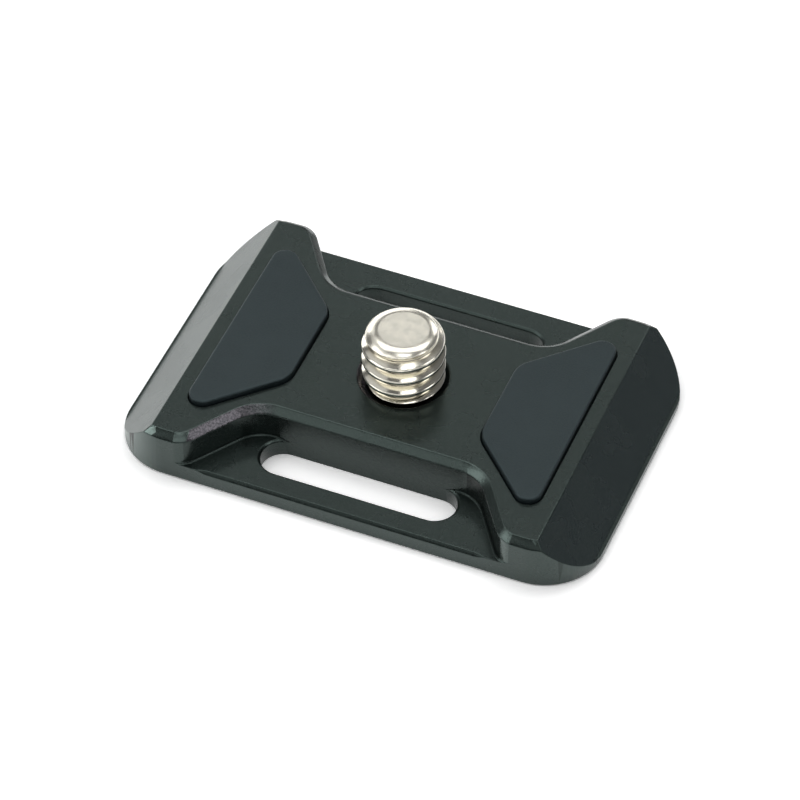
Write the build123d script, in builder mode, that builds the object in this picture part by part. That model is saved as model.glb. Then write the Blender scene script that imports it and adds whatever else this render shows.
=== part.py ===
"""Tripod quick release plate: a small dovetail plate that screws to the underside of a camera.

The plate is milled from one piece of aluminium. X runs across the dovetail, Y along it and Z up.
The origin is on the screw's axis, in the plane of the underside. Lengths are in millimetres and
angles in degrees.
"""

from build123d import *

import os
from math import atan2, degrees, radians, tan

# Plate, overall
dovetail_width = 38.0
plate_depth = 25.1
plate_height = 4.25
corner_radius = 4.7
base_chamfer = 0.15
top_chamfer_run = 0.6
top_chamfer_drop = 0.5
chamfer_angle = 45.0

# Dovetail flanks: an upright land at the base, a narrow level ledge, then the slope
edge_land = 0.75
edge_ledge = 0.25
dovetail_angle = 45.0
crest_radius = 0.2

# Recesses in front and behind, which leave a thin flange and a narrow centre strip
strip_width = 14.25
recess_width = 17.8
recess_angle = 34.0
recess_corner_radius = 3.0
recess_foot_radius = 0.2
nose_radius = 2.0
nose_overrun = 0.03
flange_height = 1.55
flange_chamfer = 0.22
flange_chamfer_length = 21.0
chamfer_cutter_radius = 2.0

# Strap slots through the flanges, along the centre strip's walls
slot_length = 15.5
slot_width = 3.4
slot_chamfer = 0.18

# Rubber pads, set into pockets in the top face
pad_thickness = 1.0
pad_proud = 0.45
pad_clearance = 0.05
pad_rim = 1.25
pad_width = 6.4
pad_inner_length = 7.7
pad_flare = 45.0
pad_inner_radius = 2.0
pad_outer_radius = 1.05
pad_edge_radius = 0.12

# Camera screw, 1/4 inch with 20 threads to the inch, held captive by its undercut neck
thread_diameter = 6.3
thread_height = 4.75
thread_rise = 0.1
tip_radius = 1.37
neck_diameter = 5.04
head_diameter = 10.6
head_recess = 0.15
head_chamfer = 0.2
coin_slot_width = 1.6
coin_slot_depth = 1.2

# Screw hole: a tapped web between a countersink on top and a counterbore for the head
neck_clearance = 0.08
countersink_diameter = 7.0
countersink_angle = 90.0
head_clearance = 0.2
head_gap = 0.1
web_height = 1.9

# Worked out from the sizes above
half_width = dovetail_width / 2
half_depth = plate_depth / 2
slope_run = (plate_height - edge_land) / tan(radians(dovetail_angle))
slope_foot_x = half_width - edge_ledge
slope_top_x = slope_foot_x - slope_run
strip_half = strip_width / 2
brow_y = half_depth + nose_overrun
brow_x = recess_width / 2 + (brow_y - strip_half) * tan(radians(recess_angle))
outside_x = brow_x + nose_radius
outside_y = brow_y + nose_radius
mouth_angle = degrees(atan2(top_chamfer_run, top_chamfer_drop))
chamfer_path_y = half_depth - flange_chamfer + chamfer_cutter_radius
slot_offset = strip_half + slot_width / 2
pad_outer_x = slope_top_x - pad_rim
pad_inner_x = pad_outer_x - pad_width
pocket_depth = pad_thickness - pad_proud
pocket_floor = plate_height - pocket_depth
web_bottom = plate_height - web_height
neck_radius = neck_diameter / 2
head_radius = head_diameter / 2
thread_radius = thread_diameter / 2
hole_radius = neck_radius + neck_clearance
counterbore_radius = head_radius + head_clearance
head_top = web_bottom - head_gap
thread_bottom = plate_height + thread_rise
neck_top = thread_bottom - (thread_radius - neck_radius)
screw_tip = plate_height + thread_height

os.makedirs("parts", exist_ok=True)


def pad_plan(side, growth=0.0):
    """A pad's outline on one side of the screw, the sign of X, flared outward and grown all round."""
    inner_half = pad_inner_length / 2
    outer_half = inner_half + pad_width * tan(radians(pad_flare))
    with BuildSketch() as plan:
        with BuildLine():
            Polyline(
                (side * pad_inner_x, -inner_half),
                (side * pad_outer_x, -outer_half),
                (side * pad_outer_x, outer_half),
                (side * pad_inner_x, inner_half),
                close=True,
            )
        make_face()
        fillet(plan.vertices().group_by(lambda corner: abs(corner.X))[0], pad_inner_radius)
        fillet(plan.vertices().group_by(lambda corner: abs(corner.X))[-1], pad_outer_radius)
        if growth:
            offset(amount=growth)
    return plan.sketch


# Recess: the space milled away in front of the centre strip, with a rounded foot and a chamfered top edge
with BuildPart() as recess:
    with BuildSketch(Plane.XY.offset(flange_height)) as recess_plan:
        with BuildLine():
            Polyline(
                (-recess_width / 2, strip_half),
                (recess_width / 2, strip_half),
                (brow_x, brow_y),
                (outside_x, brow_y),
                (outside_x, outside_y),
                (-outside_x, outside_y),
                (-outside_x, brow_y),
                (-brow_x, brow_y),
                close=True,
            )
        make_face()
        brow_corners = recess_plan.vertices().group_by(Axis.Y)[1]
        fillet(brow_corners.group_by(lambda corner: abs(corner.X))[0], nose_radius)
        fillet(recess_plan.vertices().group_by(Axis.Y)[0], recess_corner_radius)
    extrude(amount=plate_height - top_chamfer_drop - flange_height)
    foot_edges = recess.faces().sort_by(Axis.Z)[0].edges()
    fillet(foot_edges.filter_by(lambda edge: edge.center().Y < brow_y + nose_overrun), recess_foot_radius)
    extrude(recess.faces().sort_by(Axis.Z)[-1], amount=top_chamfer_drop + base_chamfer, taper=-mouth_angle)

# Strap slot: milled along the centre strip's wall and through the recess's foot, its top edge chamfered
with BuildPart() as strap_slot:
    with BuildSketch():
        with Locations((0, slot_offset)):
            SlotOverall(slot_length, slot_width)
    extrude(amount=flange_height)
    with BuildSketch(Plane.XY.offset(flange_height)) as slot_mouth:
        with Locations((0, slot_offset)):
            SlotOverall(slot_length + 2 * slot_chamfer, slot_width + 2 * slot_chamfer)
    extrude(amount=-slot_chamfer, taper=chamfer_angle)
    extrude(slot_mouth.sketch, amount=recess_foot_radius)
    with BuildSketch():
        with Locations((0, strip_half)):
            Rectangle(dovetail_width, plate_depth, align=(Align.CENTER, Align.MIN))
    extrude(amount=plate_height, mode=Mode.INTERSECT)

# Plate body
with BuildPart() as plate_body:
    with BuildSketch():
        RectangleRounded(dovetail_width, plate_depth, corner_radius)
    extrude(amount=plate_height)
    top_face = plate_body.faces().sort_by(Axis.Z)[-1]
    chamfer(top_face.edges(), length=top_chamfer_run, length2=top_chamfer_drop, reference=top_face)
    chamfer(plate_body.faces().sort_by(Axis.Z)[0].edges(), length=base_chamfer)
    add(recess.part, mode=Mode.SUBTRACT)
    mirror(recess.part, about=Plane.XZ, mode=Mode.SUBTRACT)

    # Dovetail flanks, with their crests just broken
    with BuildSketch(Plane.XZ):
        with BuildLine():
            Polyline(
                (slope_foot_x, edge_land),
                (slope_top_x, plate_height),
                (half_width + edge_ledge, plate_height),
                (half_width + edge_ledge, edge_land),
                close=True,
            )
        make_face()
        mirror(about=Plane.YZ)
    extrude(amount=half_depth, both=True, mode=Mode.SUBTRACT)
    fillet(plate_body.edges().filter_by(Axis.Y).group_by(Axis.Z)[-1], crest_radius)

    # Chamfer along the front flange's outer edge, running out at both ends
    with BuildSketch(Plane.XY.offset(flange_height)):
        with Locations((0, -chamfer_path_y)):
            SlotCenterToCenter(flange_chamfer_length, 2 * chamfer_cutter_radius)
    extrude(amount=-2 * flange_chamfer, taper=chamfer_angle, mode=Mode.SUBTRACT)

    # Strap slots
    add(strap_slot.part, mode=Mode.SUBTRACT)
    mirror(strap_slot.part, about=Plane.XZ, mode=Mode.SUBTRACT)

    # Pockets for the pads
    with BuildSketch(Plane.XY.offset(pocket_floor)):
        add([pad_plan(-1, pad_clearance), pad_plan(1, pad_clearance)])
    extrude(amount=pocket_depth, mode=Mode.SUBTRACT)

    # Hole for the screw
    with Locations((0, 0, plate_height)):
        CounterSinkHole(hole_radius, countersink_diameter / 2, counter_sink_angle=countersink_angle)
    with BuildSketch():
        Circle(counterbore_radius)
    extrude(amount=web_bottom, mode=Mode.SUBTRACT)

plate_body.part.label = "plate_body"
export_step(plate_body.part, "parts/plate_body.step")

# Rubber pads, lying on their pockets' floors
for side, pad_name in ((-1, "left_pad"), (1, "right_pad")):
    with BuildPart() as pad:
        with BuildSketch(Plane.XY.offset(pocket_floor)):
            add(pad_plan(side))
        extrude(amount=pad_thickness)
        fillet(pad.faces().sort_by(Axis.Z)[-1].edges(), pad_edge_radius)
    pad.part.label = pad_name
    export_step(pad.part, f"parts/{pad_name}.step")

# Camera screw: head, undercut neck, a cone up to the thread's full size, and a rounded tip
with BuildPart() as camera_screw:
    with BuildSketch(Plane.XZ) as screw_profile:
        with BuildLine():
            Polyline(
                (0, head_recess),
                (head_radius - head_chamfer, head_recess),
                (head_radius, head_recess + head_chamfer),
                (head_radius, head_top),
                (neck_radius, head_top),
                (neck_radius, neck_top),
                (thread_radius, thread_bottom),
                (thread_radius, screw_tip),
                (0, screw_tip),
                close=True,
            )
        make_face()
        fillet(screw_profile.vertices().group_by(Axis.Y)[-1].sort_by(Axis.X)[-1], tip_radius)
    revolve(axis=Axis.Z)

    # Coin slot across the head's underside
    with BuildSketch(Plane.XY.offset(head_recess)):
        Rectangle(head_diameter, coin_slot_width)
    extrude(amount=coin_slot_depth, mode=Mode.SUBTRACT)

camera_screw.part.label = "camera_screw"
export_step(camera_screw.part, "parts/camera_screw.step")
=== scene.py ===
"""Dresses a small tripod quick release plate: its anodised body, rubber pads and camera screw.

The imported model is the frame. X runs across the dovetail, Y along it and Z up, with the origin on
the screw's axis in the plane of the underside. Lengths are in metres, except for the places by which
the plate's edges and faces are told apart, which are in millimetres.
"""

from math import cos, pi, radians, sin, tan
from typing import NamedTuple

import bmesh
import bpy
import numpy as np
from bpy.props import FloatProperty, FloatVectorProperty, IntProperty, PointerProperty
from mathutils import Matrix, Vector


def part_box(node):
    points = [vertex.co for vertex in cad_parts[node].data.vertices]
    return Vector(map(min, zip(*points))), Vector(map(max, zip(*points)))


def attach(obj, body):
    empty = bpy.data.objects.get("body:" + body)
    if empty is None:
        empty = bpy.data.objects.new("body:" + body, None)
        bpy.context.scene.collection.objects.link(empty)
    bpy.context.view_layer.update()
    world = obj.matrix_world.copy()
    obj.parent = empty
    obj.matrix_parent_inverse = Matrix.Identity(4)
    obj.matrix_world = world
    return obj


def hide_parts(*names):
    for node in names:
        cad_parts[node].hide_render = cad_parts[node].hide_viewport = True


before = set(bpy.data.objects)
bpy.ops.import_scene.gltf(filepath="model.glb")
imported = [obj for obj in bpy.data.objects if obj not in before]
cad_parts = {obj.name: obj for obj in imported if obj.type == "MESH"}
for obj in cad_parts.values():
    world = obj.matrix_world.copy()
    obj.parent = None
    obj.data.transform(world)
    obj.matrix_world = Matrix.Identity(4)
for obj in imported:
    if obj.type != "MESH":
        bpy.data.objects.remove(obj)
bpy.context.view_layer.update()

bl_info = {
    "name": "Quick Release Plate",
    "version": (1, 0, 0),
    "blender": (4, 5, 0),
    "location": "View3D > Sidebar > Plate",
    "description": "Dresses a small dovetail camera plate with its pads and screw",
    "category": "Add Mesh",
}

MM = 0.001
WHITE = (1.0, 1.0, 1.0)
UNIT = (0.0, 1.0)

# Mesh work: points this close are welded, and faces this flat are joined
WELD = 2e-7
FLAT_ANGLE = radians(0.2)

# Places on the plate, in millimetres, by which its edges and faces are told apart
UPPER_EDGE_Z = 3.5
RIM_Z = 4.2
BACK_RIM_Y = 6.5
RUN_OUT_X = (12.2, 13.5)
RUN_OUT_Y = 12.3
RUN_OUT_Z = (1.5, 1.85)
CHAMFER_Z = 3.6
CONTOUR_X = 12.4
CONTOUR_Y = 12.2
RECESS_X = 13.0
RECESS_Y = 12.3
FOOT_Z = (1.55, 1.8)
NOSE_X = 13.4
BROW_Y = 12.0
FLANGE_EDGE_Y = 12.2
FLANGE_EDGE_Z = 1.6
GLINT_Y = -11.0

# Turns of the plate's edges and parts of its faces' normals, for the same use
RIM_TURN = radians(50)
CHAMFER_UP = (0.6, 0.8)
WALL_UP = 0.3
FOOT_UP = 0.97
SIDEWAYS = 0.45
DEEP_LEFT = -0.2
NOSE_LEFT = -0.12
GLINT_LEFT = -0.08
FRONTWARD = -0.05
FACING_FROM = 0.3
FACING_SPAN = 0.6
LEFT_SPAN = 0.5
# How far a face must turn right for the cutter marks and their painted highlight to show in full
TOOLED_AND_LIT_SPAN = 0.5

# Specular level of the shader at which its gloss follows from the index of refraction alone
PLAIN_SPECULAR = 0.5

# Parts of the noise that the grain group spreads from nought to one
SPECK_RANGE = (0.36, 0.68)
CLOUD_RANGE = (0.32, 0.68)

# Points on a pad, and how far in towards its middle the rings on its flat faces lie
PAD_ARC_POINTS = 17
PAD_SIDE_POINTS = 10
PAD_EDGE_POINTS = 7
PAD_RINGS = (0.12, 0.4, 0.7, 1.0)

# The coin slot's two rounded lips, in units of the lip: out from the wall, and off the face or the floor
SLOT_LIP = 0.08 * MM
FACE_LIP_OUT = (1.0, 0.6, 0.25, 0.05, 0.0)
FACE_LIP_RISE = (0.0, 0.1, 0.4, 0.8, 1.0)
FLOOR_LIP_OUT = (0.0, -0.05, -0.3, -0.8)
FLOOR_LIP_FALL = (1.0, 0.7, 0.15, 0.0)
SLOT_FLOOR_POINTS = 8
CHORD_POINTS = 9

# Points up the screw, and the radii of the rings that close its tip, as shares of the last one
SHOULDER_LIP = 0.12 * MM
SHOULDER_POINTS = 5
THREAD_ROWS = 180
TIP_ROWS = 40
CAP_RINGS = (0.85, 0.5, 0.0)

# Stage: the camera's frame in millimetres, and its near clip and the floor's reach in metres
SENSOR_WIDTH = 36.0
CLIP_START = 0.01
FLOOR_REACH = 3.0
FLOOR_GAP = 0.005 * MM


class Softbox(NamedTuple):
    """A lamp's turn from the camera to the right, its elevation and its width and height, in degrees.

    All of them are as seen from the origin. A tinted lamp has the stage's fill colour, another is white.
    """

    name: str
    turn: float
    elevation: float
    wide: float
    tall: float
    luminance: float
    tinted: bool = False


LAMPS = (
    Softbox("front_softbox", turn=0, elevation=46, wide=46, tall=20, luminance=1.3),
    Softbox("front_top_softbox", turn=2, elevation=73, wide=20, tall=16, luminance=2.8),
    Softbox("front_left_softbox", turn=-48, elevation=49, wide=18, tall=18, luminance=1.25),
    Softbox("left_softbox", turn=-78, elevation=31, wide=40, tall=28, luminance=1.8),
    Softbox("left_top_softbox", turn=-105, elevation=48, wide=46, tall=32, luminance=0.42),
    Softbox("right_low_softbox", turn=112, elevation=13, wide=50, tall=20, luminance=0.175, tinted=True),
    Softbox("right_softbox", turn=66, elevation=43, wide=20, tall=24, luminance=2.5),
    Softbox("back_left_softbox", turn=-160, elevation=12, wide=48, tall=22, luminance=1.6),
    Softbox("back_side_softbox", turn=-146, elevation=24, wide=14, tall=30, luminance=0.8),
    Softbox("back_right_softbox", turn=149, elevation=26, wide=19, tall=23, luminance=2.1),
    Softbox("back_softbox", turn=180, elevation=43, wide=16, tall=8, luminance=1.25),
    Softbox("top_softbox", turn=180, elevation=73, wide=60, tall=26, luminance=2.1),
)


def length(name, description, millimetres):
    """A length property whose default is given in millimetres."""
    return FloatProperty(
        name=name, description=description, default=millimetres * MM, precision=6, unit="LENGTH"
    )


def number(name, description, default, top=1.0):
    """A plain number property from nought up to a top value."""
    return FloatProperty(
        name=name, description=description, default=default, min=0.0, max=top, precision=4
    )


def angle(name, description, degrees):
    """An angle property whose default is given in degrees."""
    return FloatProperty(
        name=name, description=description, default=radians(degrees), precision=5, subtype="ANGLE"
    )


def colour(name, description, default):
    """A linear colour property."""
    return FloatVectorProperty(
        name=name, description=description, default=default, min=0.0, max=1.0, subtype="COLOR"
    )


class PlateSettings(bpy.types.PropertyGroup):
    """Edges, gloss and colours of the anodised plate. A gloss is given beside that of the open faces."""

    edge_break: length("Edge break", "Width of the rounding on the back rim, the widest there is", 0.14)
    upper_break: number("Upper break", "Share of that width on the other upper edges", 0.64)
    lower_break: number("Lower break", "Share of that width on the lower edges", 0.43)
    sharp_angle: angle("Sharp angle", "Edges that turn by more than this are broken", 34.0)
    body_colour: colour("Anodising", "Colour of the dyed oxide", (0.0015, 0.0034, 0.0029))
    pale_colour: colour("Pale grain", "Colour of the lighter specks in the oxide", (0.0235, 0.0254, 0.0249))
    # Pale cutter marks, partly a painted highlight: laid on the front chamfer the more it turns right
    mark_and_highlight_colour: colour("Cutter marks", "Colour of the marks where a cutter ran", (0.120, 0.112, 0.124))
    gloss_colour: colour("Gloss tint", "Tint of the gloss on the oxide, seen face on", (0.77, 1.0, 0.93))
    # Gloss tint on the same cutter marks and painted highlight
    tooled_and_lit_colour: colour("Tooled tint", "Tint of the gloss where a cutter ran", (0.94, 0.90, 1.0))
    wall_gloss: number("Wall gloss", "Gloss of the walls inside the recesses", 0.6)
    deep_gloss: number("Deep gloss", "Gloss of the front recess's walls that look left", 0.25)
    brow_gloss: number("Brow gloss", "Gloss of the small outer chamfers", 0.5)
    nose_gloss: number("Nose gloss", "Gloss of the rounded noses", 1.6, 2.0)
    front_gloss: number("Front gloss", "Gloss of the front and back walls", 0.86)
    corner_gloss: number("Corner gloss", "Gloss of the left front corner's wall", 1.8, 3.0)
    glint_gloss: number("Glint gloss", "Gloss of the chamfer that turns the left front corner", 3.0, 5.0)
    sparkle: number("Sparkle", "How much of the pale grain shows", 0.35)
    roughness: number("Roughness", "Roughness of the blasted faces", 0.27)
    unevenness: number("Unevenness", "How far the roughness strays either way", 0.015)
    refraction: number("Refraction", "Index of refraction of the oxide", 1.66, 3.0)
    grain: length("Grain", "Size of the blasted grain", 0.16)
    cloud: length("Cloud", "Size of the patches in which the roughness strays", 3.5)
    bump: number("Bump", "Strength of the grain's relief", 0.6)
    relief: length("Relief", "Depth of the grain's relief", 0.018)


class PadSettings(bpy.types.PropertyGroup):
    """Sizes and colours of the rubber pads."""

    inner_length: length("Inner length", "Length of a pad's inner edge before its corners are rounded", 7.7)
    flare: angle("Flare", "Angle at which a pad widens outwards", 45.0)
    inner_radius: length("Inner radius", "Radius of the corners nearest the screw", 2.0)
    outer_radius: length("Outer radius", "Radius of the corners nearest the dovetail", 1.05)
    edge_radius: length("Edge radius", "Rounding round a pad's top", 0.16)
    body_colour: colour("Rubber", "Colour of the rubber", (0.004, 0.007, 0.0085))
    pale_colour: colour("Bloom", "Colour of the paler bloom on the rubber", (0.008, 0.012, 0.0145))
    gloss_colour: colour("Gloss tint", "Tint of the gloss on the rubber, seen face on", (0.64, 0.83, 0.86))
    smoothest: number("Smoothest", "Roughness between the grain's specks", 0.43)
    roughest: number("Roughest", "Roughness of the grain's specks", 0.55)
    refraction: number("Refraction", "Index of refraction of the rubber", 1.66, 3.0)
    grain: length("Grain", "Size of the moulded grain", 0.12)
    cloud: length("Cloud", "Size of the patches of bloom", 2.5)
    bump: number("Bump", "Strength of the grain's relief", 0.5)
    relief: length("Relief", "Depth of the grain's relief", 0.02)


class ScrewSettings(bpy.types.PropertyGroup):
    """Sizes and colours of the camera screw."""

    thread_diameter: length("Thread diameter", "Diameter over the thread's crests", 6.3)
    pitch: length("Pitch", "Rise of the thread in one turn", 1.27)
    thread_depth: length("Thread depth", "Height of a crest above the root", 0.62)
    flank_angle: angle("Flank angle", "Angle between a flank of the thread and its axis", 60.0)
    crest_radius: length("Crest radius", "Rounding on both edges of a crest", 0.10)
    root_radius: length("Root radius", "Rounding in the root of the thread", 0.26)
    phase: angle("Phase", "Turn of the thread about its axis", -96.7)
    tip_radius: length("Tip radius", "Rounding round the screw's tip", 1.37)
    thread_bottom: length("Thread bottom", "Height at which the thread has its full size", 4.35)
    neck_diameter: length("Neck diameter", "Diameter of the undercut neck", 5.04)
    head_top: length("Head top", "Height of the head's shoulder", 2.25)
    head_chamfer: length("Head chamfer", "Chamfer round the head's underside", 0.2)
    coin_slot_width: length("Coin slot width", "Width of the slot across the head", 1.6)
    coin_slot_depth: length("Coin slot depth", "Depth of the slot across the head", 1.2)
    columns: IntProperty(name="Columns", description="Points round half a turn", default=120, min=24)
    metal_colour: colour("Plating", "Colour of the bright plating", (0.85, 0.82, 0.72))
    # Painted shade: the plating is drawn darker and warmer down in the thread's grooves
    groove_shade_colour: colour("Grooves", "Colour of the plating in the thread's grooves", (0.58, 0.53, 0.40))
    groove_margin: length("Groove margin", "Depth under the crests from which that colour comes in", 0.15)
    groove_foot: length("Groove foot", "Height from which that colour comes in", 2.4)
    groove_end: length("Groove end", "Height from which that colour goes out", 8.2)
    groove_fade: length("Groove fade", "Height over which it comes in or goes out", 0.4)
    roughness: number("Roughness", "Roughness of the plating", 0.14)
    tip_roughness: number("Tip roughness", "Roughness of the turned tip", 0.24)
    tip_foot: length("Tip foot", "Height from which the tip's roughness comes in", 7.6)
    tip_fade: length("Tip fade", "Height over which it comes in", 0.7)
    smoother: number("Smoother", "How far the roughness drops in patches", 0.02)
    rougher: number("Rougher", "How far the roughness rises in patches", 0.03)
    grain: length("Grain", "Size of the plating's grain", 0.1)
    cloud: length("Cloud", "Size of the patches in which the roughness strays", 0.9)
    bump: number("Bump", "Strength of the grain's relief", 0.12)
    relief: length("Relief", "Depth of the grain's relief", 0.01)


class StageSettings(bpy.types.PropertyGroup):
    """Camera, light and floor."""

    azimuth: angle("Azimuth", "Turn of the camera from the front towards the right", 22.10955)
    elevation: angle("Elevation", "Height of the camera above the floor, as an angle", 45.7412)
    roll: angle("Roll", "Turn of the camera about its own axis", 0.18933)
    distance: length("Distance", "Distance of the camera along its axis", 323.4968)
    aside: length("Aside", "How far the origin lies right of the camera's axis", 0.25842)
    below: length("Below", "How far the origin lies below the camera's axis", 1.08638)
    lens: number("Lens", "Focal length in millimetres, on a frame of 36 mm", 193.0849, 1000.0)
    floor_colour: colour("Floor", "Colour of the pale floor", (0.86, 0.86, 0.86))
    floor_coat: number("Floor coat", "Whiteness that the floor gains where it is seen, also in gloss", 0.58)
    floor_lift: number("Floor lift", "White that the floor adds where gloss or glass shows it", 0.08)
    room_level: number("Room level", "Luminance of the room round the stage", 0.13)
    fill_colour: colour("Fill", "Colour of the low light on the right", (0.73, 0.79, 1.0))
    lamp_distance: length("Lamp distance", "Distance of the lamps from the origin", 1000.0)


def quads_of(rows, columns, closed=False):
    """The corners of a grid's cells, row by row; a closed grid joins its last column to its first."""
    across = np.arange(columns if closed else columns - 1)
    start = np.arange(rows - 1)[:, None] * columns
    here = start + across
    beside = start + (across + 1) % columns
    return np.stack([here, beside, beside + columns, here + columns], axis=-1).reshape(-1, 4)


def surface_mesh(name, grids):
    """One closed mesh from several grids of points, each with its quads, welded along their seams."""
    first = np.cumsum([0] + [len(points) for points, _ in grids[:-1]])
    points = np.concatenate([points for points, _ in grids])
    quads = np.concatenate([quads + start for (_, quads), start in zip(grids, first)])
    mesh = bpy.data.meshes.new(name)
    mesh.vertices.add(len(points))
    mesh.vertices.foreach_set("co", points.astype(np.float32).ravel())
    mesh.loops.add(quads.size)
    mesh.loops.foreach_set("vertex_index", quads.astype(np.int32).ravel())
    mesh.polygons.add(len(quads))
    mesh.polygons.foreach_set("loop_start", np.arange(0, quads.size, quads.shape[1], dtype=np.int32))
    mesh.update(calc_edges=True)
    work = bmesh.new()
    work.from_mesh(mesh)
    bmesh.ops.remove_doubles(work, verts=work.verts, dist=WELD)
    bmesh.ops.dissolve_degenerate(work, edges=work.edges, dist=WELD)
    bmesh.ops.recalc_face_normals(work, faces=work.faces)
    work.to_mesh(mesh)
    work.free()
    mesh.validate()
    return mesh


def vectors_of(items, key):
    """One vector of each of a mesh's points or faces, as the rows of an array."""
    values = np.empty(3 * len(items), dtype=np.float32)
    items.foreach_get(key, values)
    return values.reshape(-1, 3)


def add_numbers(mesh, name, domain, values):
    """Puts a named number on each of a mesh's edges or faces."""
    attribute = mesh.attributes.new(name, "FLOAT", domain)
    attribute.data.foreach_set("value", values.astype(np.float32))


def place_piece(name, mesh, material, body, node):
    """Puts a finished mesh in the scene, riding on its body in place of its CAD node."""
    mesh.materials.clear()
    mesh.materials.append(material)
    mesh.polygons.foreach_set("use_smooth", np.ones(len(mesh.polygons), dtype=bool))
    mesh.update()
    piece = bpy.data.objects.new(name, mesh)
    bpy.context.scene.collection.objects.link(piece)
    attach(piece, body)
    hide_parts(node)
    return piece


class Nodes:
    """Adds nodes and links to one node tree."""

    def __init__(self, tree):
        self.tree = tree

    def add(self, kind, settings=None, **inputs):
        """A node with its settings, and its inputs set to values or linked to sockets.

        An input is named by its socket, with an underscore for a space, or by its place, as i0 or i1.
        """
        node = self.tree.nodes.new(kind)
        for key, value in (settings or {}).items():
            setattr(node, key, value)
        for key, value in inputs.items():
            place = key[1:]
            socket = node.inputs[int(place) if place.isdigit() else key.replace("_", " ")]
            self.put(socket, value)
        return node

    def put(self, socket, value):
        """Links a socket to an output, or gives it a plain value."""
        if isinstance(value, bpy.types.NodeSocket):
            self.tree.links.new(value, socket)
        else:
            socket.default_value = value

    def math(self, operation, first, second=0.0):
        """The output of a Math node."""
        return self.add("ShaderNodeMath", {"operation": operation}, i0=first, i1=second).outputs[0]

    def attribute(self, name):
        """The output of a number that the mesh carries."""
        return self.add("ShaderNodeAttribute", {"attribute_name": name}).outputs["Fac"]

    def mix(self, factor, first, second):
        """The output of a colour Mix node."""
        node = self.add("ShaderNodeMix", {"data_type": "RGBA"})
        self.put(node.inputs["Factor"], factor)
        self.put(node.inputs["A"], first)
        self.put(node.inputs["B"], second)
        return node.outputs["Result"]

    def remap(self, value, source, target=UNIT):
        """The output of a smooth Map Range node, from one pair of ends to another."""
        node = self.add("ShaderNodeMapRange", {"interpolation_type": "SMOOTHSTEP"}, Value=value)
        for key, end in zip(("From Min", "From Max", "To Min", "To Max"), (*source, *target)):
            self.put(node.inputs[key], end)
        return node.outputs["Result"]


def rgba(colour_value):
    """A colour with full alpha."""
    return (*colour_value, 1.0)


def grain_group():
    """A shared group: fine specks, broad cloud and a height for the bump, at a given grain size."""
    name = "fine_grain"
    if name in bpy.data.node_groups:
        return bpy.data.node_groups[name]
    group = bpy.data.node_groups.new(name, "ShaderNodeTree")
    for key, size in (("Grain Size", 0.15 * MM), ("Cloud Size", 3.0 * MM)):
        socket = group.interface.new_socket(key, in_out="INPUT", socket_type="NodeSocketFloat")
        socket.default_value = size
    for key in ("Specks", "Cloud", "Height"):
        group.interface.new_socket(key, in_out="OUTPUT", socket_type="NodeSocketFloat")
    nodes = Nodes(group)
    given = nodes.add("NodeGroupInput")
    result = nodes.add("NodeGroupOutput")
    place = nodes.add("ShaderNodeTexCoord").outputs["Object"]
    speck_scale = nodes.math("DIVIDE", 1.0, given.outputs["Grain Size"])
    cloud_scale = nodes.math("DIVIDE", 1.0, given.outputs["Cloud Size"])
    specks = nodes.add("ShaderNodeTexNoise", Vector=place, Scale=speck_scale, Detail=2.0, Roughness=0.6)
    cloud = nodes.add("ShaderNodeTexNoise", Vector=place, Scale=cloud_scale, Detail=3.0, Roughness=0.55)
    nodes.put(result.inputs["Specks"], nodes.remap(specks.outputs["Fac"], SPECK_RANGE))
    nodes.put(result.inputs["Cloud"], nodes.remap(cloud.outputs["Fac"], CLOUD_RANGE))
    nodes.put(result.inputs["Height"], specks.outputs["Fac"])
    return group


def new_material(name):
    """An empty node material."""
    material = bpy.data.materials.new(name)
    material.use_nodes = True
    material.node_tree.nodes.clear()
    return material, Nodes(material.node_tree)


def new_grained_material(name, settings):
    """A material with a Principled BSDF, and with the grain group at its own sizes for the relief."""
    material, nodes = new_material(name)
    shader = nodes.add("ShaderNodeBsdfPrincipled")
    nodes.add("ShaderNodeOutputMaterial", Surface=shader.outputs["BSDF"])
    grain = nodes.add("ShaderNodeGroup", {"node_tree": grain_group()},
                      Grain_Size=settings.grain, Cloud_Size=settings.cloud)
    bump = nodes.add("ShaderNodeBump", Strength=settings.bump, Distance=settings.relief,
                     Height=grain.outputs["Height"])
    nodes.put(shader.inputs["Normal"], bump.outputs["Normal"])
    return material, nodes, shader, grain.outputs


def plate_material(settings):
    """Dyed anodising over a fine blasted grain, with pale cutter marks that are partly a painted highlight.
    """
    material, nodes, shader, grain = new_grained_material("black_anodising", settings)
    tooled = nodes.attribute("tooled")
    specks = nodes.math("MULTIPLY", grain["Specks"], settings.sparkle)
    plain = nodes.mix(specks, rgba(settings.body_colour), rgba(settings.pale_colour))
    # Pale specks of the cutter marks, partly a painted highlight on the chamfer that turns right
    marks = nodes.math("MULTIPLY", grain["Specks"], tooled)
    nodes.put(shader.inputs["Base Color"], nodes.mix(marks, plain, rgba(settings.mark_and_highlight_colour)))
    ends = (settings.roughness - settings.unevenness, settings.roughness + settings.unevenness)
    nodes.put(shader.inputs["Roughness"], nodes.remap(grain["Cloud"], UNIT, ends))
    shader.inputs["IOR"].default_value = settings.refraction
    tint = nodes.mix(tooled, rgba(settings.gloss_colour), rgba(settings.tooled_and_lit_colour))
    nodes.put(shader.inputs["Specular Tint"], tint)
    level = nodes.math("MULTIPLY", nodes.attribute("gloss"), PLAIN_SPECULAR)
    nodes.put(shader.inputs["Specular IOR Level"], level)
    return material


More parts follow.
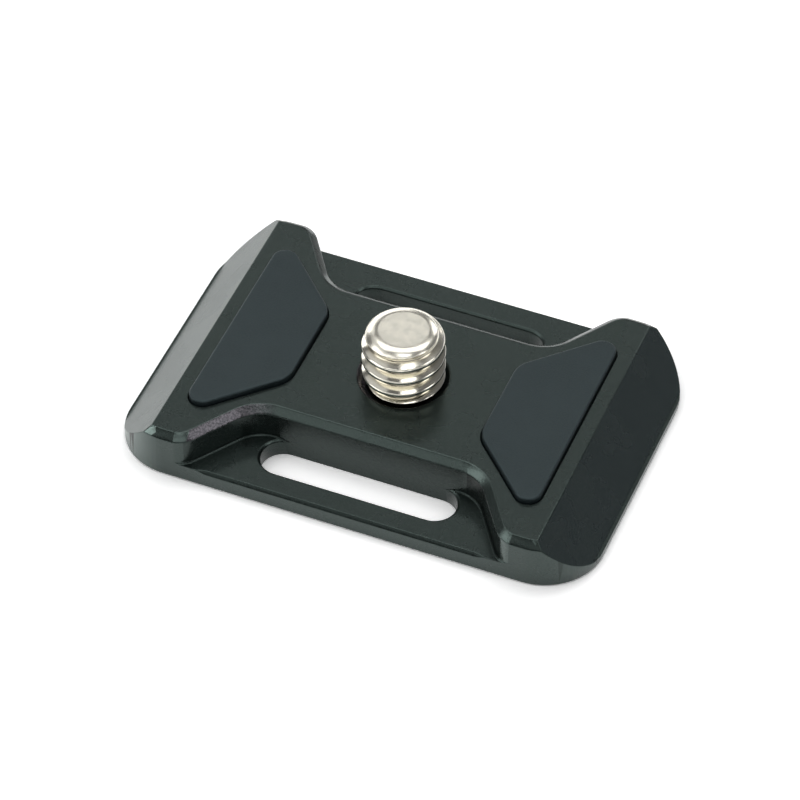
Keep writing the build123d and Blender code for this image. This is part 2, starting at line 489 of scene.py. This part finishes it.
def pad_material(settings):
    """Matt moulded rubber with a fine grain and a faint bloom."""
    material, nodes, shader, grain = new_grained_material("pad_rubber_finish", settings)
    bloom = nodes.math("MULTIPLY", grain["Cloud"], grain["Specks"])
    tint = nodes.mix(bloom, rgba(settings.body_colour), rgba(settings.pale_colour))
    nodes.put(shader.inputs["Base Color"], tint)
    rough = nodes.remap(grain["Specks"], UNIT, (settings.smoothest, settings.roughest))
    nodes.put(shader.inputs["Roughness"], rough)
    shader.inputs["IOR"].default_value = settings.refraction
    shader.inputs["Specular Tint"].default_value = rgba(settings.gloss_colour)
    return material


def screw_material(settings):
    """Bright plating, painted warmer and darker as shade in the thread's grooves, with a duller tip."""
    material, nodes, shader, grain = new_grained_material("bright_plating", settings)
    place = nodes.add("ShaderNodeTexCoord").outputs["Object"]
    parts = nodes.add("ShaderNodeSeparateXYZ", Vector=place).outputs
    squares = [nodes.math("MULTIPLY", parts[axis], parts[axis]) for axis in "XY"]
    radius = nodes.math("SQRT", nodes.math("ADD", *squares))
    height = parts["Z"]
    crest = settings.thread_diameter / 2
    depths = (crest - settings.thread_depth, crest - settings.groove_margin)
    groove = nodes.remap(radius, depths, (1.0, 0.0))
    fade = settings.groove_fade
    below_tip = nodes.remap(height, (settings.groove_end, settings.groove_end + fade), (1.0, 0.0))
    above_head = nodes.remap(height, (settings.groove_foot, settings.groove_foot + fade))
    # Painted shade in the thread's grooves, from above the head to below the tip
    groove_shade = nodes.math("MULTIPLY", groove, nodes.math("MULTIPLY", below_tip, above_head))
    tint = nodes.mix(groove_shade, rgba(settings.metal_colour), rgba(settings.groove_shade_colour))
    nodes.put(shader.inputs["Base Color"], tint)
    tip_ends = (settings.tip_foot, settings.tip_foot + settings.tip_fade)
    plain = nodes.remap(height, tip_ends, (settings.roughness, settings.tip_roughness))
    patches = nodes.remap(grain["Cloud"], UNIT, (-settings.smoother, settings.rougher))
    nodes.put(shader.inputs["Roughness"], nodes.math("ADD", plain, patches))
    shader.inputs["Metallic"].default_value = 1.0
    return material


def between(values, ends):
    """Which values lie between two ends."""
    return (values > ends[0]) & (values < ends[1])


def edge_weights(middle, turn, settings):
    """How much of the full width each edge is broken by, from its middle and its turn.

    Edges that turn little stay as they are, and so do those where the flange's chamfer runs out.
    """
    x, y, z = middle.T
    run_out = between(np.abs(x), RUN_OUT_X) & (np.abs(y) > RUN_OUT_Y) & between(z, RUN_OUT_Z)
    back_rim = (y > BACK_RIM_Y) & (z > RIM_Z) & (turn < RIM_TURN)
    kinds = [back_rim, z > UPPER_EDGE_Z]
    amount = np.select(kinds, [1.0, settings.upper_break], settings.lower_break)
    return np.where((turn > settings.sharp_angle) & ~run_out, amount, 0.0)


def face_finish(normal, centre, settings):
    """The gloss of each face beside that of the open faces, and how far a cutter's marks show on it.

    The contour is the chamfer round the recesses, the rim the chamfer outside it. An outer wall's gloss
    changes as it turns to the front or back, and rises as it turns left at the front. The cutter's marks
    are on the front contour, the more so the further a face turns right; they are partly real marks and
    partly a painted highlight where that chamfer catches the light.
    """
    nx, ny, nz = normal.T
    x, y, z = centre.T
    front, back = y < 0, y > 0
    slanted = between(nz, CHAMFER_UP)
    chamfer = slanted & (z > CHAMFER_Z)
    contour = chamfer & (np.abs(x) < CONTOUR_X) & (np.abs(y) < CONTOUR_Y)
    rim = chamfer & ~contour

    wall = np.abs(nz) < WALL_UP
    within = np.abs(y) < RECESS_Y
    recess = wall & within & (np.abs(x) < RECESS_X)
    outer = wall & ~recess
    recess |= (nz < FOOT_UP) & between(z, FOOT_Z) & within
    deep = recess & front & (nx < DEEP_LEFT) & (z > FOOT_Z[0])

    brow = rim & (np.abs(y) > BROW_Y) & ((np.abs(x) > NOSE_X) | back)
    brow |= contour & back & (np.abs(nx) > SIDEWAYS)
    brow |= slanted & (z < FLANGE_EDGE_Z) & (np.abs(y) > FLANGE_EDGE_Y)
    nose = rim & front & (np.abs(x) < NOSE_X)
    nose |= contour & front & (nx < NOSE_LEFT)
    glint = chamfer & (x < -NOSE_X) & (y < GLINT_Y) & (nx < GLINT_LEFT)

    facing = np.clip((np.abs(ny) - FACING_FROM) / FACING_SPAN, 0.0, 1.0)
    leftward = np.clip(-nx / LEFT_SPAN, 0.0, 1.0) * (ny < FRONTWARD)
    outer_gloss = 1 - (1 - settings.front_gloss) * facing + (settings.corner_gloss - 1) * leftward
    kinds = [deep, recess, outer, glint, brow, nose]
    levels = [settings.deep_gloss, settings.wall_gloss, outer_gloss,
              settings.glint_gloss, settings.brow_gloss, settings.nose_gloss]
    gloss = np.select(kinds, levels, 1.0)
    # Cutter marks on the front contour, partly a painted highlight: stronger the further a face turns right
    tooled = np.where(contour & front, np.clip(nx / TOOLED_AND_LIT_SPAN, 0.0, 1.0), 0.0)
    return gloss, tooled


def plate_mesh(settings):
    """The plate's CAD mesh with its flat faces joined, and its edges and faces marked for their finish."""
    work = bmesh.new()
    work.from_mesh(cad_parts["plate_body"].data)
    bmesh.ops.remove_doubles(work, verts=work.verts, dist=WELD)
    bmesh.ops.dissolve_limit(work, angle_limit=FLAT_ANGLE, verts=work.verts, edges=work.edges)
    mesh = bpy.data.meshes.new("anodised_plate")
    turn = np.array([edge.calc_face_angle(0.0) for edge in work.edges])
    work.to_mesh(mesh)
    work.free()
    ends = np.empty(2 * len(mesh.edges), dtype=np.int32)
    mesh.edges.foreach_get("vertices", ends)
    middle = vectors_of(mesh.vertices, "co")[ends.reshape(-1, 2)].mean(axis=1) / MM
    add_numbers(mesh, "bevel_weight_edge", "EDGE", edge_weights(middle, turn, settings))
    normal = vectors_of(mesh.polygons, "normal")
    centre = vectors_of(mesh.polygons, "center") / MM
    gloss, tooled = face_finish(normal, centre, settings)
    add_numbers(mesh, "gloss", "FACE", gloss)
    add_numbers(mesh, "tooled", "FACE", tooled)
    return mesh


def keep_in_box(piece, node):
    """Turns a piece's modifiers into its mesh, and draws in any point outside its CAD node's box."""
    mesh = bpy.data.meshes.new_from_object(piece.evaluated_get(bpy.context.evaluated_depsgraph_get()))
    low, high = (np.array(corner, dtype=np.float32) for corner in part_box(node))
    points = np.clip(vectors_of(mesh.vertices, "co"), low, high)
    mesh.vertices.foreach_set("co", points.ravel())
    mesh.update()
    piece.modifiers.clear()
    piece.data = mesh


class QRPLATE_OT_body(bpy.types.Operator):
    """Makes the anodised plate, with its milled edges just broken."""

    bl_idname = "qrplate.body"
    bl_label = "Anodised Plate"

    def execute(self, context):
        settings = context.scene.qrplate_body
        piece = place_piece("anodised_plate", plate_mesh(settings), plate_material(settings),
                            "plate", "plate_body")
        breaking = piece.modifiers.new("Edge break", "BEVEL")
        breaking.width = settings.edge_break
        breaking.segments = 2
        breaking.limit_method = "WEIGHT"
        breaking.use_clamp_overlap = False
        breaking.miter_outer = "MITER_ARC"
        keep_in_box(piece, "plate_body")
        shading = piece.modifiers.new("Flat faces", "WEIGHTED_NORMAL")
        shading.mode = "FACE_AREA"
        shading.weight = 100
        return {"FINISHED"}


def rounded_outline(corners, radii, arc_points, side_points):
    """Points and outward normals round a convex outline whose corners are arcs.

    Each corner's arc has its centre at the radius from both sides; its points turn evenly from one side's
    normal to the next one's, and each straight side is divided evenly between the arcs.
    """
    corners = np.asarray(corners, dtype=float)
    to_next = np.roll(corners, -1, axis=0) - corners
    to_next /= np.linalg.norm(to_next, axis=1, keepdims=True)
    out = np.stack([to_next[:, 1], -to_next[:, 0]], axis=1)
    before = np.roll(out, 1, axis=0)
    turn = np.arctan2(before[:, 0] * out[:, 1] - before[:, 1] * out[:, 0], (before * out).sum(axis=1))
    reach = np.asarray(radii)[:, None] / (1 + (before * out).sum(axis=1, keepdims=True))
    centres = corners - reach * (before + out)
    swing = np.arctan2(before[:, 1], before[:, 0])[:, None] + turn[:, None] * np.linspace(0, 1, arc_points)
    arc_normals = np.stack([np.cos(swing), np.sin(swing)], axis=-1)
    arcs = centres[:, None, :] + np.asarray(radii)[:, None, None] * arc_normals
    share_along = np.linspace(0, 1, side_points + 2)[1:-1][None, :, None]
    leave, arrive = arcs[:, -1:, :], np.roll(arcs, -1, axis=0)[:, :1, :]
    sides = leave + (arrive - leave) * share_along
    side_normals = np.repeat(arc_normals[:, -1:, :], side_points, axis=1)
    points = np.concatenate([arcs, sides], axis=1).reshape(-1, 2)
    normals = np.concatenate([arc_normals, side_normals], axis=1).reshape(-1, 2)
    return points, normals


def pad_mesh(name, node, settings):
    """A pad as a profile carried round its outline.

    The outline is a trapezium with rounded corners. A point is the outline moved inward along its normal by
    the profile's inset, at the profile's height: up the wall, round a quarter circle on to the top, and then
    across the flat top to the middle.
    """
    low, high = (np.array(corner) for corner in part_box(node))
    side = np.sign(low[0] + high[0])
    inner_x, outer_x = np.sort(np.abs([low[0], high[0]]))
    inner_half = settings.inner_length / 2
    outer_half = inner_half + (outer_x - inner_x) * tan(settings.flare)
    corners = [(inner_x, -inner_half), (outer_x, -outer_half), (outer_x, outer_half), (inner_x, inner_half)]
    radii = [settings.inner_radius, settings.outer_radius, settings.outer_radius, settings.inner_radius]
    points, normals = rounded_outline(corners, radii, PAD_ARC_POINTS, PAD_SIDE_POINTS)
    bend = np.linspace(0, pi / 2, PAD_EDGE_POINTS)
    edge = settings.edge_radius
    inset = np.concatenate([[0.0, 0.0], edge * (1 - np.cos(bend))])
    height = np.concatenate([[low[2], (low[2] + high[2]) / 2], high[2] - edge + edge * np.sin(bend)])
    rings = points[None] - inset[:, None, None] * normals[None]
    middle = np.array([(inner_x + outer_x) / 2, 0.0])
    inward = np.array(PAD_RINGS)[:, None, None]
    top = rings[-1:] + (middle - rings[-1:]) * inward
    floor = rings[:1] + (middle - rings[:1]) * inward[::-1]
    plan = np.concatenate([floor, rings, top])
    level = np.concatenate([np.full(len(floor), low[2]), height, np.full(len(top), high[2])])
    grid = np.concatenate([plan, np.broadcast_to(level[:, None, None], (*plan.shape[:2], 1))], axis=-1)
    grid[..., 0] *= side
    return surface_mesh(name, [(grid.reshape(-1, 3), quads_of(*grid.shape[:2], closed=True))])


class QRPLATE_OT_pads(bpy.types.Operator):
    """Makes the two rubber pads in their pockets."""

    bl_idname = "qrplate.pads"
    bl_label = "Rubber Pads"

    def execute(self, context):
        settings = context.scene.qrplate_pads
        material = pad_material(settings)
        for side in ("left", "right"):
            name = f"rubber_pad_{side}"
            node = f"{side}_pad"
            place_piece(name, pad_mesh(name, node, settings), material, "plate", node)
        return {"FINISHED"}


def slot_profile(settings, rim):
    """The coin slot in section from one side of the rim to the other: turns about the rim, and heights.

    The turns are those of the chords' ends, whose sine times the rim's radius is the distance from the
    slot's middle. A height is nought on the head's face and the slot's depth on its floor, with a rounded
    lip where a wall meets either.
    """
    depth = settings.coin_slot_depth
    edge = np.arcsin(settings.coin_slot_width / 2 / rim)
    lip_turns = edge + SLOT_LIP / rim * np.array(FACE_LIP_OUT + FLOOR_LIP_OUT)
    lip_heights = [SLOT_LIP * np.array(FACE_LIP_RISE), depth - SLOT_LIP * np.array(FLOOR_LIP_FALL)]
    outside = np.linspace(pi / 2, lip_turns[0], settings.columns // 2)[:-1]
    inside = np.linspace(lip_turns[-1], 0.0, SLOT_FLOOR_POINTS)[1:]
    half_turn = np.concatenate([outside, lip_turns, inside])
    half_height = np.concatenate([np.zeros(len(outside)), *lip_heights, np.full(len(inside), depth)])
    turn = np.concatenate([-half_turn, half_turn[-2::-1]])
    height = np.concatenate([half_height, half_height[-2::-1]])
    return turn, height


def head_underside(settings, low, rim):
    """The head's underside as chords across the coin slot, and the loop round its rim.

    A chord lies at each distance from the middle of the slot and carries the slot's own profile of heights.
    A point's height is the greater of that profile and of the chamfer, which rises at 45 degrees over the
    last of the radius.
    """
    turn, rise = slot_profile(settings, rim)
    y = rim * np.sin(turn)
    reach = rim * np.abs(np.cos(turn))
    flat = rim - settings.head_chamfer
    inner = np.minimum(np.sqrt(np.maximum(flat ** 2 - y ** 2, 0.0)), reach)
    within = inner[:, None] * np.linspace(0, 1, CHORD_POINTS)
    beyond = np.stack([(inner + reach) / 2, reach], axis=1)
    half = np.concatenate([within, beyond], axis=1)
    x = np.concatenate([-half[:, :0:-1], half], axis=1)
    chamfer = np.maximum(np.hypot(x, y[:, None]) - flat, 0.0)
    z = low + np.maximum(rise[:, None], chamfer)
    grid = np.stack([x, np.broadcast_to(y[:, None], x.shape), z], axis=-1)
    loop = np.concatenate([grid[:, -1], grid[::-1, 0]])
    return grid, loop


def thread_radius(turn, height, settings):
    """The thread's radius at an angle and a height.

    The distance from the nearest crest is measured along the axis, from a helix that climbs to the right.
    Over half a pitch the profile is a flat crest, an arc off it, a straight flank and an arc in the root.
    Both arcs are tangent to the flank, so that it meets them without a corner.
    """
    steps = height / settings.pitch - (turn - settings.phase) / (2 * pi)
    from_crest = np.abs(steps - np.round(steps)) * settings.pitch
    from_root = settings.pitch / 2 - from_crest
    crest = settings.thread_diameter / 2
    root = crest - settings.thread_depth
    off_crest, off_root = settings.crest_radius, settings.root_radius
    rise, run = sin(settings.flank_angle), cos(settings.flank_angle)
    flank = (settings.thread_depth - (off_crest + off_root) * (1 - run)) * run / rise
    flat = settings.pitch / 2 - flank - (off_crest + off_root) * rise
    down_arc = np.clip(from_crest - flat, 0.0, off_crest * rise)
    crest_part = crest - off_crest + np.sqrt(off_crest ** 2 - down_arc ** 2)
    up_arc = np.minimum(from_root, off_root * rise)
    root_part = root + off_root - np.sqrt(off_root ** 2 - up_arc ** 2)
    down_flank = np.maximum(from_crest - flat - off_crest * rise, 0.0) * rise / run
    return np.where(from_root < off_root * rise, root_part, crest_part - down_flank)


def screw_mesh(settings):
    """The screw as one closed surface: the slotted underside, then rings from the rim up to the tip.

    Above the rim each ring has one radius, except in the thread, where the radius is the least of the
    helical thread, the cone that runs out at its foot and the quarter circle round its tip.
    """
    low, high = (np.array(corner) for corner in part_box("camera_screw"))
    rim, tip = high[0], high[2]
    underside, loop = head_underside(settings, low[2], rim)
    turn = np.arctan2(loop[:, 1], loop[:, 0])
    neck = settings.neck_diameter / 2
    crest = settings.thread_diameter / 2
    bend = np.linspace(0, pi / 2, SHOULDER_POINTS)
    lip, head_top = SHOULDER_LIP, settings.head_top
    shoulder_r = np.concatenate([rim - lip + lip * np.cos(bend), neck + lip - lip * np.sin(bend)])
    shoulder_z = np.concatenate([head_top - lip + lip * np.sin(bend), head_top + lip - lip * np.cos(bend)])
    neck_top = settings.thread_bottom - (crest - neck)
    tip_foot = tip - settings.tip_radius
    up_thread = np.linspace(neck_top, tip_foot, THREAD_ROWS)[:-1]
    up_tip = tip_foot + settings.tip_radius * np.sin(np.linspace(0, pi / 2, TIP_ROWS))
    thread_z = np.concatenate([up_thread, up_tip])
    cone = neck + np.maximum(thread_z - neck_top, 0.0)
    above = np.clip((thread_z - tip_foot) / settings.tip_radius, 0.0, 1.0)
    dome = crest - settings.tip_radius * (1 - np.sqrt(1 - above ** 2))
    limit = np.minimum(cone, dome)
    thread_r = np.minimum(thread_radius(turn[None], thread_z[:, None], settings), limit[:, None])
    cap_r = thread_r[-1:] * np.array(CAP_RINGS)[:, None]
    shoulder = np.broadcast_to(shoulder_r[:, None], (len(shoulder_r), len(loop)))
    radii = np.concatenate([shoulder, thread_r, cap_r])
    heights = np.concatenate([shoulder_z, thread_z, np.full(len(cap_r), tip)])
    z = np.broadcast_to(heights[:, None], radii.shape)
    rings = np.stack([radii * np.cos(turn), radii * np.sin(turn), z], axis=-1)
    side = np.concatenate([loop[None], rings])
    grids = [
        (underside.reshape(-1, 3), quads_of(*underside.shape[:2])),
        (side.reshape(-1, 3), quads_of(*side.shape[:2], closed=True)),
    ]
    return surface_mesh("camera_screw_thread", grids)


class QRPLATE_OT_screw(bpy.types.Operator):
    """Makes the camera screw with its thread, neck and slotted head."""

    bl_idname = "qrplate.screw"
    bl_label = "Camera Screw"

    def execute(self, context):
        settings = context.scene.qrplate_screw
        place_piece("threaded_screw", screw_mesh(settings), screw_material(settings),
                    "screw", "camera_screw")
        return {"FINISHED"}


def towards(azimuth, elevation):
    """A direction from the origin: the azimuth turns from the front to the right, the elevation lifts it."""
    return Vector((sin(azimuth) * cos(elevation), -cos(azimuth) * cos(elevation), sin(elevation)))


def add_camera(settings):
    """A camera that looks along its own axis past the origin, as the settings say."""
    back = towards(settings.azimuth, settings.elevation)
    level = (-back).cross(Vector((0, 0, 1))).normalized()
    upright = level.cross(-back)
    right = cos(settings.roll) * level + sin(settings.roll) * upright
    up = -sin(settings.roll) * level + cos(settings.roll) * upright
    place = settings.distance * back - settings.aside * right + settings.below * up
    data = bpy.data.cameras.new("studio_camera")
    data.sensor_width = SENSOR_WIDTH
    data.lens = settings.lens
    data.clip_start = CLIP_START
    camera = bpy.data.objects.new("studio_camera", data)
    camera.matrix_world = Matrix.Translation(place) @ Matrix((right, up, back)).transposed().to_4x4()
    bpy.context.scene.collection.objects.link(camera)
    bpy.context.scene.camera = camera


def add_softbox(softbox, settings):
    """A rectangular lamp that faces the origin, as wide and tall from there as its angles say.

    Its energy is that of a face with the softbox's luminance all over.
    """
    back = towards(settings.azimuth + radians(softbox.turn), radians(softbox.elevation))
    data = bpy.data.lights.new(softbox.name, "AREA")
    data.shape = "RECTANGLE"
    data.size = 2 * settings.lamp_distance * tan(radians(softbox.wide / 2))
    data.size_y = 2 * settings.lamp_distance * tan(radians(softbox.tall / 2))
    data.energy = softbox.luminance * pi * data.size * data.size_y
    data.color = settings.fill_colour if softbox.tinted else WHITE
    lamp = bpy.data.objects.new(softbox.name, data)
    facing = back.to_track_quat("Z", "Y").to_matrix().to_4x4()
    lamp.matrix_world = Matrix.Translation(settings.lamp_distance * back) @ facing
    lamp.visible_camera = False
    bpy.context.scene.collection.objects.link(lamp)


def add_floor(settings):
    """A wide pale floor just under the plate, whiter where a camera, gloss or glass ray meets it."""
    ends = (-FLOOR_REACH, FLOOR_REACH)
    x, y = np.meshgrid(ends, ends)
    points = np.stack([x, y, np.full_like(x, -FLOOR_GAP)], axis=-1)
    mesh = surface_mesh("studio_floor", [(points.reshape(-1, 3), quads_of(*x.shape))])
    material, nodes = new_material("pale_floor")
    ray = nodes.add("ShaderNodeLightPath").outputs
    mirrored = nodes.math("MAXIMUM", ray["Is Glossy Ray"], ray["Is Transmission Ray"])
    seen = nodes.math("MAXIMUM", ray["Is Camera Ray"], mirrored)
    matt = nodes.add("ShaderNodeBsdfDiffuse", Color=rgba(settings.floor_colour))
    coat = nodes.add("ShaderNodeBsdfDiffuse", Color=nodes.math("MULTIPLY", seen, settings.floor_coat))
    lift = nodes.add("ShaderNodeEmission", Strength=nodes.math("MULTIPLY", mirrored, settings.floor_lift))
    both = nodes.add("ShaderNodeAddShader", i0=matt.outputs[0], i1=coat.outputs[0])
    whole = nodes.add("ShaderNodeAddShader", i0=both.outputs[0], i1=lift.outputs[0])
    nodes.add("ShaderNodeOutputMaterial", Surface=whole.outputs[0])
    mesh.materials.append(material)
    floor = bpy.data.objects.new("studio_floor", mesh)
    bpy.context.scene.collection.objects.link(floor)


def add_world(settings):
    """An even, dim room all round the stage."""
    world = bpy.data.worlds.new("studio_room")
    bpy.context.scene.world = world
    world.use_nodes = True
    world.node_tree.nodes.clear()
    nodes = Nodes(world.node_tree)
    glow = nodes.add("ShaderNodeBackground", Color=rgba(WHITE), Strength=settings.room_level)
    nodes.add("ShaderNodeOutputWorld", Surface=glow.outputs[0])


class QRPLATE_OT_stage(bpy.types.Operator):
    """Sets the floor, the soft studio light and the camera."""

    bl_idname = "qrplate.stage"
    bl_label = "Studio Stage"

    def execute(self, context):
        settings = context.scene.qrplate_stage
        context.scene.view_settings.view_transform = "Standard"
        add_camera(settings)
        add_floor(settings)
        add_world(settings)
        for softbox in LAMPS:
            add_softbox(softbox, settings)
        return {"FINISHED"}


class QRPLATE_PT_panel(bpy.types.Panel):
    """Lists the plate's pieces and the stage in the sidebar."""

    bl_idname = "QRPLATE_PT_panel"
    bl_label = "Quick Release Plate"
    bl_space_type = "VIEW_3D"
    bl_region_type = "UI"
    bl_category = "Plate"

    def draw(self, context):
        for group, operator in GROUPS.values():
            box = self.layout.box()
            settings = getattr(context.scene, group)
            for key in settings.bl_rna.properties.keys():
                if key not in {"rna_type", "name"}:
                    box.prop(settings, key)
            box.operator(operator)


GROUPS = {
    PlateSettings: ("qrplate_body", "qrplate.body"),
    PadSettings: ("qrplate_pads", "qrplate.pads"),
    ScrewSettings: ("qrplate_screw", "qrplate.screw"),
    StageSettings: ("qrplate_stage", "qrplate.stage"),
}
OPERATORS = (QRPLATE_OT_body, QRPLATE_OT_pads, QRPLATE_OT_screw, QRPLATE_OT_stage)


def register():
    """Registers the settings, the operators and the panel."""
    for settings, (group, _) in GROUPS.items():
        bpy.utils.register_class(settings)
        setattr(bpy.types.Scene, group, PointerProperty(type=settings))
    for operator in OPERATORS:
        bpy.utils.register_class(operator)
    bpy.utils.register_class(QRPLATE_PT_panel)


def unregister():
    """Takes the panel, the operators and the settings away again."""
    bpy.utils.unregister_class(QRPLATE_PT_panel)
    for operator in reversed(OPERATORS):
        bpy.utils.unregister_class(operator)
    for settings, (group, _) in reversed(GROUPS.items()):
        delattr(bpy.types.Scene, group)
        bpy.utils.unregister_class(settings)


def main():
    """Makes every piece and the stage."""
    register()
    bpy.ops.qrplate.body()
    bpy.ops.qrplate.pads()
    bpy.ops.qrplate.screw()
    bpy.ops.qrplate.stage()


if __name__ == "__main__":
    main()
